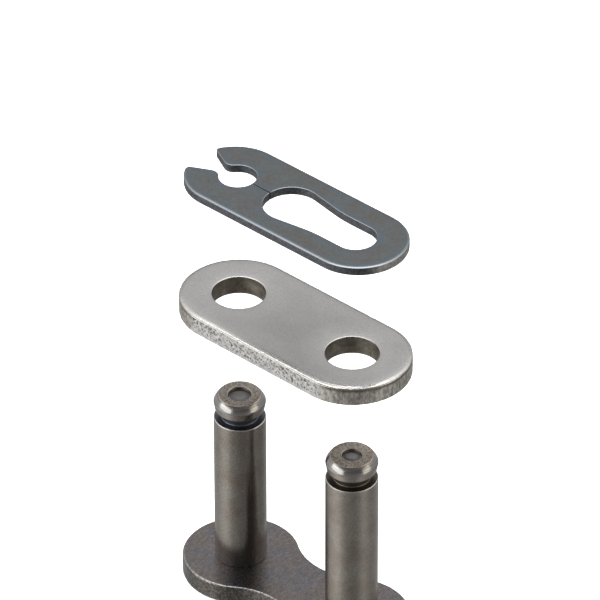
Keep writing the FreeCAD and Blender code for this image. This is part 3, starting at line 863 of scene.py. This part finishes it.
STUDIO_IMAGE = 600
VIEW_ELEVATION, VIEW_AZIMUTH, VIEW_ROLL = 35.47, 42.44, 0.11
VIEW_DISTANCE = 562.0
PIXELS_PER_MM = 12.033
VIEW_TARGET = (0.0, 0.0, 24.0)
VIEW_OFFSET = (-0.389, 6.288)
SENSOR = 36.0
LAMP_TARGET, LAMP_DISTANCE = (0.0, 0.0, 20.0), 420.0
ROOM_LIGHT = 1.5
FLOOR_REACH, FLOOR_LEVEL = 3000.0, -0.02


def direction(azimuth, elevation):
    """Unit vector from the link towards a place round it."""
    turn, rise = math.radians(azimuth), math.radians(elevation)
    return Vector((math.sin(turn) * math.cos(rise), -math.cos(turn) * math.cos(rise), math.sin(rise)))


def studio_camera():
    """Long lens at the photograph's angle, so that 600 pixels take in the same part of the link."""
    back, level = direction(VIEW_AZIMUTH, VIEW_ELEVATION), direction(VIEW_AZIMUTH + 90, 0)
    roll = math.radians(VIEW_ROLL)
    right = level * math.cos(roll) - back.cross(level) * math.sin(roll)
    up = back.cross(right)
    data = bpy.data.cameras.new("Studio camera")
    data.sensor_width = SENSOR
    data.lens = SENSOR * PIXELS_PER_MM * VIEW_DISTANCE / STUDIO_IMAGE
    data.clip_start, data.clip_end = 0.01, 20.0
    camera = placed("Studio camera", data)
    place = Vector(VIEW_TARGET) - right * VIEW_OFFSET[0] + up * VIEW_OFFSET[1] + back * VIEW_DISTANCE
    camera.matrix_world = Matrix.Translation(place * MM) @ Matrix((right, up, back)).transposed().to_4x4()
    bpy.context.scene.camera = camera


def lamp(name, side, rise, size, brightness, tint):
    """Softbox that faces the link, placed by its angle from the camera's side and above the floor."""
    away = direction(VIEW_AZIMUTH + side, rise)
    data = bpy.data.lights.new(name, "AREA")
    data.shape = "RECTANGLE"
    data.size, data.size_y = size[0] * MM, size[1] * MM
    data.energy = brightness * math.pi * data.size * data.size_y
    data.color = linear(tint)[:3]
    box = placed(name, data)
    box.location = (Vector(LAMP_TARGET) + away * LAMP_DISTANCE) * MM
    box.rotation_euler = away.to_track_quat("Z", "Y").to_euler()


def studio_world():
    """Pale studio round the link: white to the camera, and for light and reflections a white room that is
    bright overhead and behind, dark on the photographer's side, and striped by cards near the floor."""
    world = bpy.data.worlds.new("Pale studio")
    bpy.context.scene.world = world
    tree = bare_tree(world)
    ray = add(tree, "ShaderNodeLightPath", give="Is Camera Ray")
    way = add(tree, "ShaderNodeTexCoord", give="Generated")
    rise = add(tree, "ShaderNodeSeparateXYZ", {0: way}, give="Z")
    front, across = (
        add(tree, "ShaderNodeVectorMath", {0: way, 1: direction(azimuth, 0)}, give="Value",
            operation="DOT_PRODUCT")
        for azimuth in (VIEW_AZIMUTH, VIEW_AZIMUTH + 90))
    depth = add(tree, "ShaderNodeMapRange", {0: front, 1: -1, 2: 1})
    upper = add(tree, "ShaderNodeValToRGB", {0: depth}, stops=[
        (0, 0.28), (0.09, 0.33), (0.14, 0.52), (0.2, 0.7), (0.3, 0.93), (0.45, 0.95), (0.53, 0.87),
        (0.585, 0.47), (0.64, 0.3), (0.75, 0.11), (1, 0.09)])
    bearing = add(tree, "ShaderNodeMath", {0: across, 1: front}, operation="ARCTAN2")
    bearing = add(tree, "ShaderNodeMapRange", {0: bearing, 1: -math.pi, 2: math.pi})
    lower = add(tree, "ShaderNodeValToRGB", {0: bearing}, stops=[
        (0, 0.13), (0.08, 0.33), (0.18, 0.33), (0.23, 0.45), (0.275, 0.55), (0.314, 0.57), (0.353, 0.48),
        (0.386, 0.31), (0.42, 0.23), (0.47, 0.185), (0.52, 0.16), (0.567, 0.165), (0.614, 0.27),
        (0.653, 0.37), (0.708, 0.26), (0.77, 0.2), (0.86, 0.25), (0.92, 0.33), (1, 0.13)])
    above = add(tree, "ShaderNodeMapRange", {0: rise, 1: 0, 2: 0.35}, interpolation_type="SMOOTHSTEP")
    aside = add(tree, "ShaderNodeMath", {0: across}, operation="ABSOLUTE")
    aside = add(tree, "ShaderNodeMapRange", {0: aside, 1: 0.55, 2: 0.88, 3: 1, 4: 0.35})
    upper = add(tree, "ShaderNodeMix", {0: 1, 6: upper, 7: aside}, **TIMES)
    room = add(tree, "ShaderNodeMix", {0: above, 6: lower, 7: upper}, **BLEND)
    light = add(tree, "ShaderNodeBackground", {"Color": room, "Strength": ROOM_LIGHT})
    white = add(tree, "ShaderNodeBackground", {"Color": linear("#FFFFFF"), "Strength": 1})
    seen = add(tree, "ShaderNodeMixShader", {0: ray, 1: light, 2: white})
    add(tree, "ShaderNodeOutputWorld", {"Surface": seen})


def studio_floor():
    """Pale floor that shows white to the camera apart from the link's own shadow."""
    mesh = bpy.data.meshes.new("Floor")
    mesh.from_pydata([(x * FLOOR_REACH * MM, y * FLOOR_REACH * MM, FLOOR_LEVEL * MM)
                      for x, y in ((-1, -1), (1, -1), (1, 1), (-1, 1))], [], [(0, 1, 2, 3)])
    floor = placed("Floor", mesh)
    material = bpy.data.materials.new("Pale studio floor")
    tree = bare_tree(material)
    ray = add(tree, "ShaderNodeLightPath").node.outputs
    matt = add(tree, "ShaderNodeBsdfDiffuse", {"Color": linear("#F2F2F2")})
    glow = add(tree, "ShaderNodeEmission", {"Color": linear("#FFFFFF"), "Strength": ray["Is Camera Ray"]})
    lit = add(tree, "ShaderNodeAddShader", {0: matt, 1: glow})
    clear = add(tree, "ShaderNodeBsdfTransparent")
    seen = add(tree, "ShaderNodeMixShader", {0: ray["Is Glossy Ray"], 1: lit, 2: clear})
    add(tree, "ShaderNodeOutputMaterial", {"Surface": seen})
    mesh.materials.append(material)


class LINK_OT_studio(bpy.types.Operator):
    """Sets up the floor, the soft lamps, the pale surroundings and the camera"""
    bl_idname = "link.studio"
    bl_label = "Studio"

    def execute(self, context):
        context.scene.view_settings.view_transform = "Standard"
        studio_world()
        studio_floor()
        studio_camera()
        lamp("Overhead softbox", 200, 80, (360, 260), 1.6, "#FFFFFF")
        lamp("Left softbox", -66, 18, (440, 150), 2.0, "#FDFEFF")
        lamp("Right softbox", 66, 18, (260, 150), 1.3, "#FFF4E4")
        return {"FINISHED"}


class LINK_PT_panel(bpy.types.Panel):
    """Lists the pieces of the connecting link"""
    bl_idname = "LINK_PT_panel"
    bl_label = "Chain link"
    bl_space_type = "VIEW_3D"
    bl_region_type = "UI"
    bl_category = "Chain link"

    def draw(self, context):
        for group in (context.scene.link_sizes, context.scene.link_colours):
            box = self.layout.box()
            for name in group.__annotations__:
                box.prop(group, name)
        for operator in STEPS:
            self.layout.operator(operator.bl_idname)


STEPS = (LINK_OT_base_plate, LINK_OT_pins, LINK_OT_link_plate, LINK_OT_spring_clip, LINK_OT_studio)
CLASSES = (LinkSizes, LinkColours, *STEPS, LINK_PT_panel)


def register():
    for cls in CLASSES:
        bpy.utils.register_class(cls)
    bpy.types.Scene.link_sizes = PointerProperty(type=LinkSizes)
    bpy.types.Scene.link_colours = PointerProperty(type=LinkColours)


def unregister():
    del bpy.types.Scene.link_colours
    del bpy.types.Scene.link_sizes
    for cls in reversed(CLASSES):
        bpy.utils.unregister_class(cls)


def main():
    register()
    for operator in STEPS:
        getattr(bpy.ops.link, operator.bl_idname.split(".")[1])()


if __name__ == "__main__":
    main()
